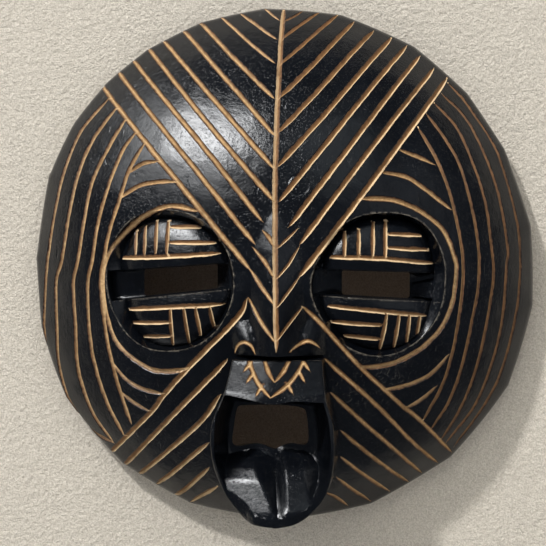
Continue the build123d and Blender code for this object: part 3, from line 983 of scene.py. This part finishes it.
def build_body():
    """The body as one closed mesh: front, back, crater, mouth hole and eye slots."""
    place, front_faces, marks, loops = front_skin()
    mouth_middle = mouth_hole.mean(0)
    holes = {"mouth": mouth_middle + (smooth_loop(mouth_hole, 12) - mouth_middle) * MOUTH_FLARE}
    for side in (-1, 1):
        holes["sight", side] = sight_loop(side, SIGHT_BACK)
    edge = loops["edge"]
    back, back_faces, back_loops, back_edge = back_skin(place[edge][:, [0, 2]], holes)
    offset = len(place)
    verts = [tuple(p) for p in place] + [tuple(p) for p in back]
    weld = {int(b) + offset: int(a) for a, b in zip(edge, back_edge)}
    faces = [tuple(int(i) for i in f) for f in front_faces]
    for f in back_faces:
        faces.append(tuple(weld.get(int(i) + offset, int(i) + offset) for i in f))
    slots = [0] * len(front_faces) + [1] * len(back_faces)

    def add_rings(start, rows, end=()):
        rings = [list(start)]
        for row in rows:
            first = len(verts)
            verts.extend(tuple(p) for p in row)
            rings.append(list(range(first, first + len(row))))
        if len(end):
            rings.append([int(i) + offset for i in end])
        new = bridge(rings)
        faces.extend(new)
        slots.extend([0] * len(new))
        return rings[-1]

    last = add_rings(loops["crater"], crater_rows(place[loops["crater"]]))
    tunnels = [("mouth", last, MOUTH_ROWS, 0.5)]
    tunnels += [(name, loops[name], SIGHT_ROWS, 1.0) for name in (("sight", -1), ("sight", 1))]
    for name, begin, count, power in tunnels:
        start = np.array([verts[i] for i in begin])
        end = back_loops[name]
        add_rings(begin, tunnel_rows(start, back[end], count, power), end)

    mesh = bpy.data.meshes.new("carved_body")
    mesh.from_pydata([(x * MM, y * MM, z * MM) for x, y, z in verts], [], faces)
    # layers: share of a cut, painted light and shade of the cut walls, and pale edge lines
    # (rubbed-off stain and a painted edge highlight)
    for name, values in zip(("cut", "wide", "worn"), marks):
        layer = mesh.attributes.new(name, "FLOAT", "POINT")
        padded = np.concatenate((values, np.zeros(len(verts) - offset)))
        layer.data.foreach_set("value", padded.astype(np.float32))
    mesh.polygons.foreach_set("material_index", np.array(slots, np.int32))
    tidy_mesh(mesh)
    return new_object("carved_body", mesh)


def tidy_mesh(mesh):
    """Loose points go, small gaps close, faces turn outwards, and shading breaks at the creases."""
    bm = bmesh.new()
    bm.from_mesh(mesh)
    bmesh.ops.delete(bm, geom=[v for v in bm.verts if not v.link_faces], context="VERTS")
    bmesh.ops.holes_fill(bm, edges=[e for e in bm.edges if e.is_boundary], sides=0)
    bmesh.ops.recalc_face_normals(bm, faces=bm.faces)
    bm.to_mesh(mesh)
    bm.free()
    mesh.polygons.foreach_set("use_smooth", [True] * len(mesh.polygons))
    mesh.set_sharp_from_angle(angle=math.radians(CREASE))


# ---- materials
class Nodes:
    """Short ways to add and join shader nodes."""

    def __init__(self, name):
        self.material = bpy.data.materials.new(name)
        self.material.use_nodes = True
        self.tree = self.material.node_tree
        self.shader = self.tree.nodes["Principled BSDF"]

    def add(self, kind, **inputs):
        node = self.tree.nodes.new(kind)
        for name, value in inputs.items():
            node.inputs[name.replace("_", " ")].default_value = value
        return node

    def link(self, out, to):
        self.tree.links.new(out, to)

    def coords(self, scale=(1, 1, 1)):
        source = self.add("ShaderNodeTexCoord")
        mapping = self.add("ShaderNodeMapping")
        mapping.inputs["Scale"].default_value = scale
        self.link(source.outputs["Object"], mapping.inputs["Vector"])
        return mapping.outputs["Vector"]

    def noise(self, scale, detail=4.0, rough=0.55, stretch=(1, 1, 1)):
        node = self.add("ShaderNodeTexNoise", Scale=scale, Detail=detail, Roughness=rough)
        self.link(self.coords(stretch), node.inputs["Vector"])
        return node.outputs["Fac"]

    def ramp(self, value, low, high, a=0.0, b=1.0):
        """From a to b while the value goes from low to high."""
        node = self.add("ShaderNodeMapRange", From_Min=low, From_Max=high, To_Min=a, To_Max=b)
        self.link(value, node.inputs["Value"])
        return node.outputs["Result"]

    def attribute(self, name):
        node = self.add("ShaderNodeAttribute")
        node.attribute_name = name
        return node.outputs["Fac"]

    def math(self, kind, a, b=None):
        node = self.add("ShaderNodeMath")
        node.operation = kind
        for socket, value in zip(node.inputs, (a, b)):
            if isinstance(value, (int, float)):
                socket.default_value = value
            elif value is not None:
                self.link(value, socket)
        return node.outputs[0]

    def times(self, a, b):
        return self.math("MULTIPLY", a, b)

    def plus(self, base, more, share):
        return self.math("ADD", base, self.times(more, share))

    def mix(self, share, a, b):
        """Colour a, or b where the share is 1."""
        node = self.add("ShaderNodeMix")
        node.data_type = "RGBA"
        self.link(share, node.inputs[0])
        for socket, value in ((node.inputs[6], a), (node.inputs[7], b)):
            if isinstance(value, tuple):
                socket.default_value = (*value, 1)
            else:
                self.link(value, socket)
        return node.outputs[2]

    def set(self, **out):
        """Joins node outputs to the shader's inputs of those names, or sets plain values."""
        for name, value in out.items():
            socket = self.shader.inputs[name.replace("_", " ")]
            if isinstance(value, (int, float)):
                socket.default_value = value
            else:
                self.link(value, socket)

    def distance(self, centre):
        node = self.add("ShaderNodeVectorMath")
        node.operation = "DISTANCE"
        self.link(self.coords(), node.inputs[0])
        node.inputs[1].default_value = centre
        return node.outputs["Value"]

    def ring_mark(self, centre, radius, width):
        """1 on a circle round a point, fading to 0 at the given distance from it."""
        off = self.math("ABSOLUTE", self.math("SUBTRACT", self.distance(centre), radius))
        return self.ramp(off, 0, width, 1, 0)

    def bump(self, height, strength, distance):
        node = self.add("ShaderNodeBump", Strength=strength, Distance=distance)
        self.link(height, node.inputs["Height"])
        self.link(node.outputs["Normal"], self.shader.inputs["Normal"])


def stained_wood():
    """Black stained and waxed wood, with bare wood in the cuts, painted light on the narrow wall of
    a leaned cut and painted shade on its wide wall.
    """
    n = Nodes("stained_wood")
    cut = n.attribute("cut")
    speck = n.noise(900, 3)
    broad = n.noise(45, 5, 0.6)
    grain = n.noise(260, 4, 0.6, (1, 1, 0.12))
    chips = n.noise(420, 4, 0.7)
    edge = n.math("ADD", cut, n.ramp(chips, 0.35, 0.65, -0.16, 0.06))
    bare = n.ramp(edge, 0.065, 0.11)
    stain = n.mix(n.ramp(broad, 0.35, 0.7), (0.0012, 0.0017, 0.0030), (0.0035, 0.0046, 0.0070))
    stain = n.mix(n.ramp(grain, 0.55, 0.8, 0, 0.5), stain, (0.008, 0.008, 0.009))
    rubbed = n.times(n.ramp(speck, 0.56, 0.72), n.ramp(broad, 0.5, 0.75))
    stain = n.mix(n.times(rubbed, 0.5), stain, (0.06, 0.06, 0.062))
    # pale lines along the edges: rubbed-off stain and a painted edge highlight
    scuffs_and_highlight = n.ramp(n.noise(420, 4, 0.7), 0.38, 0.66)
    scuffs_and_highlight = n.times(n.ramp(n.attribute("worn"), 0.35, 1.0), scuffs_and_highlight)
    stain = n.mix(scuffs_and_highlight, stain, (0.22, 0.20, 0.17))
    pale = n.mix(n.ramp(n.noise(700, 4, 0.6), 0.3, 0.75), (0.40, 0.25, 0.115), (0.72, 0.52, 0.29))
    # darker towards each cut's edges
    darker_at_edges = n.mix(n.ramp(n.noise(160, 4, 0.6), 0.35, 0.7),
                  (0.055, 0.022, 0.009), (0.18, 0.085, 0.034))
    # brown: random patches in the cuts, and the painted shade on the wide wall of a leaned cut
    brown_and_painted_shade = n.mix(n.ramp(n.noise(380, 4, 0.6), 0.35, 0.65),
                  (0.12, 0.052, 0.015), (0.26, 0.135, 0.050))
    # painted light on a leaned cut's narrow wall: paler and less darkened at its edge; painted
    # shade on the wide wall: brown
    wide = n.attribute("wide")
    painted_lit_wall = n.times(n.ramp(wide, 0.10, 0.20), n.ramp(wide, 0.58, 0.68, 1, 0))
    inset = n.plus(edge, painted_lit_wall, 0.5)
    pale = n.mix(painted_lit_wall, pale, (0.74, 0.56, 0.35))
    wood = n.mix(n.ramp(wide, 0.56, 0.68, 0, 0.9), pale, brown_and_painted_shade)
    wood = n.mix(n.ramp(inset, 0.24, 0.72), darker_at_edges, wood)
    wood = n.mix(n.ramp(n.noise(75, 4, 0.65), 0.50, 0.70, 0, 0.6), wood, brown_and_painted_shade)
    muted = n.math("MAXIMUM", n.ramp(n.distance((0, -0.095, -0.052)), 0.028, 0.045, 1, 0),
                   n.ramp(n.distance((0.007, -0.088, -0.118)), 0.013, 0.022, 1, 0))
    gloss = n.plus(n.ramp(n.noise(120, 5, 0.65), 0.3, 0.75, 0.10, 0.19), muted, 0.10)
    n.set(Base_Color=n.mix(bare, stain, wood),
          Roughness=n.mix(bare, gloss, n.ramp(speck, 0, 1, 0.55, 0.75)),
          Specular_IOR_Level=n.ramp(muted, 0, 1, 0.45, 0.24))
    relief = n.plus(n.times(broad, 1.6), grain, 0.35)
    relief = n.plus(relief, n.noise(650, 4, 0.7), 0.40)
    pits = n.ramp(n.noise(1000, 2, 0.5), 0.31, 0.40)
    relief = n.plus(relief, pits, 0.28)
    nicks = n.ramp(n.noise(150, 3, 0.6, (1, 1, 0.22)), 0.69, 0.73)
    nicks = n.math("MAXIMUM", nicks, n.ring_mark((0.0130, -0.0805, 0.0465), 0.0058, 0.0009))
    relief = n.plus(relief, nicks, -0.8)
    near = n.ramp(n.distance((0.050, -0.072, -0.060)), 0.016, 0.034, 1, 0)
    drops = n.times(n.ramp(n.noise(420, 2, 0.5), 0.56, 0.64), near)
    n.bump(n.plus(relief, drops, 1.5), 0.46, 0.0006)
    return n.material


def raw_wood():
    """Back of the mask: unstained wood, darkened with handling."""
    n = Nodes("raw_wood")
    grain = n.noise(70, 6, 0.6, (1, 1, 0.08))
    broad = n.noise(14, 4, 0.5)
    fine = n.noise(900, 3, 0.6, (1, 1, 0.15))
    colour = n.mix(n.ramp(grain, 0.35, 0.7), (0.10, 0.060, 0.034), (0.26, 0.172, 0.100))
    colour = n.mix(n.ramp(broad, 0.4, 0.7, 0, 0.7), colour, (0.072, 0.047, 0.030))
    n.set(Base_Color=colour, Roughness=n.ramp(fine, 0.2, 0.8, 0.55, 0.8))
    n.bump(n.plus(n.times(grain, 0.8), fine, 0.5), 0.6, 0.0005)
    return n.material


def metal(name, colour, dark, roughness, scratch):
    """Plated or brassed metal with tarnish and fine scratches along it."""
    n = Nodes(name)
    tarnish = n.noise(220, 5, 0.6)
    lines = n.noise(900, 3, 0.6, scratch)
    n.set(Base_Color=n.mix(n.ramp(tarnish, 0.42, 0.72), colour, dark), Metallic=1.0,
          Roughness=n.ramp(lines, 0.3, 0.7, roughness - 0.08, roughness + 0.12))
    n.bump(lines, 0.25, 0.0001)
    return n.material


def felt_material():
    """Dark wool felt."""
    n = Nodes("felt")
    clump = n.ramp(n.noise(500, 4, 0.6), 0.3, 0.7)
    n.set(Base_Color=n.mix(clump, (0.022, 0.020, 0.019), (0.055, 0.05, 0.046)),
          Roughness=0.95, Sheen_Weight=0.4)
    n.bump(n.noise(2600, 5, 0.75), 0.9, 0.0005)
    return n.material


# ---- body and hardware
body = build_body()
body.data.materials.append(stained_wood())
body.data.materials.append(raw_wood())
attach(body, "mask")
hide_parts("mask_body")

zinc = metal("zinc_strap", (0.55, 0.54, 0.50), (0.34, 0.33, 0.30), 0.38, (1, 1, 0.1))
wire = metal("zinc_wire", (0.62, 0.60, 0.56), (0.40, 0.38, 0.34), 0.30, (1, 1, 0.3))
brass = metal("screw_brass", (0.72, 0.52, 0.22), (0.40, 0.27, 0.12), 0.32, (0.2, 1, 1))
felt = felt_material()
for node, material in (("hanger_strap", zinc), ("hanger_ring", wire),
                       ("hanger_screw_upper", brass), ("hanger_screw_lower", brass),
                       ("bumper_left", felt), ("bumper_right", felt)):
    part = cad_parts[node]
    part.data.materials.clear()
    part.data.materials.append(material)

# ---- wall and floor
WALL_Y = 0.0012  # just behind the felt
WALL_HALF = 1.6
FLOOR_HALF = 6
FLOOR_Z = -0.9
MIDDLE = (0, -0.05, 0)  # of the mask


def panel(name, corners, material):
    """Flat four-sided panel."""
    mesh = bpy.data.meshes.new(name)
    mesh.from_pydata(corners, [], [(0, 1, 2, 3)])
    mesh.materials.append(material)
    thing = new_object(name, mesh)
    return thing


def wall_material():
    """Pale rendered wall, clear when seen from behind."""
    n = Nodes("pale_wall")
    grit = n.noise(1000, 4, 0.7)
    n.set(Base_Color=n.mix(n.ramp(grit, 0.36, 0.62), (0.50, 0.47, 0.42), (0.735, 0.70, 0.645)),
          Roughness=0.9)
    choose = n.add("ShaderNodeMixShader")
    n.link(n.add("ShaderNodeNewGeometry").outputs["Backfacing"], choose.inputs[0])
    n.link(n.shader.outputs[0], choose.inputs[1])
    n.link(n.add("ShaderNodeBsdfTransparent").outputs[0], choose.inputs[2])
    n.link(choose.outputs[0], n.tree.nodes["Material Output"].inputs["Surface"])
    n.bump(n.plus(n.noise(420, 3, 0.65), grit, 0.3), 1.0, 0.0022)
    return n.material


def floor_material():
    """Plain pale floor."""
    n = Nodes("pale_floor")
    n.shader.inputs["Base Color"].default_value = (0.60, 0.59, 0.57, 1)
    n.set(Roughness=0.8)
    return n.material


wall = panel("wall", [(-WALL_HALF, WALL_Y, FLOOR_Z), (WALL_HALF, WALL_Y, FLOOR_Z),
                      (WALL_HALF, WALL_Y, WALL_HALF), (-WALL_HALF, WALL_Y, WALL_HALF)],
             wall_material())
wall.visible_shadow = False
floor = panel("floor", [(-FLOOR_HALF, -FLOOR_HALF, FLOOR_Z), (FLOOR_HALF, -FLOOR_HALF, FLOOR_Z),
                        (FLOOR_HALF, FLOOR_HALF, FLOOR_Z), (-FLOOR_HALF, FLOOR_HALF, FLOOR_Z)],
              floor_material())
floor.visible_glossy = False


def aim(thing, place, target):
    """Puts a camera or lamp in its place, turned to the target."""
    direction = Vector(target) - Vector(place)
    thing.location = place
    thing.rotation_euler = direction.to_track_quat("-Z", "Y").to_euler()


# ---- camera
CAMERA_PLACE = (0.073, -1.013, 0.020)
CAMERA_TARGET = (-0.0067, -0.013, -0.0049)
camera_data = bpy.data.cameras.new("camera")
camera_data.sensor_width = 36.0
camera_data.lens = 108.8
camera_data.clip_end = 50
camera = new_object("camera", camera_data)
aim(camera, CAMERA_PLACE, CAMERA_TARGET)
bpy.context.scene.camera = camera

# ---- lights
DAYLIGHT = (0.98, 0.99, 1.0)
# Each light: name, place, target, size, power, colour, and the rays that do not see it.
LIGHTS = (
    ("window", (-1.85, -1.50, 1.87), MIDDLE, (2.5, 1.35), 48, DAYLIGHT, "diffuse"),
    ("window_middle", (-1.38, -1.60, 2.08), MIDDLE, (1.45, 0.75), 77, DAYLIGHT, "diffuse"),
    ("lamp", (-2.05, -2.90, 3.50), MIDDLE, (0.28, 0.28), 205, (1.0, 0.965, 0.91), "glossy"),
    ("fill", (0.30, -2.90, 3.20), (0, 0, 0), (6.0, 4.6), 150, (1.0, 0.945, 0.83), "glossy"),
    ("sheen", (0.85, -2.10, 2.05), MIDDLE, (1.3, 1.3), 3.2, (0.88, 0.97, 1.0), "diffuse"),
    ("fill_right", (1.6, -1.5, 0.5), MIDDLE, (1.4, 1.4), 2, (0.93, 0.96, 1.0), None),
    ("back", (-1.1, 1.3, 1.0), (0, 0, 0), (1.2, 1.2), 13, (1, 1, 1), None),
)
for name, place, target, size, power, colour, unseen in LIGHTS:
    data = bpy.data.lights.new(name, "AREA")
    data.shape = "RECTANGLE"
    data.size, data.size_y = size
    data.energy = power
    data.color = colour
    light = new_object(name, data)
    aim(light, place, target)
    light.visible_diffuse = unseen != "diffuse"
    light.visible_glossy = unseen != "glossy"

world = bpy.data.worlds.new("world")
world.use_nodes = True
sky = world.node_tree.nodes["Background"]
sky.inputs["Color"].default_value = (0.70, 0.80, 1.0, 1)
sky.inputs["Strength"].default_value = 0.12
bpy.context.scene.world = world
bpy.context.scene.view_settings.view_transform = "Standard"
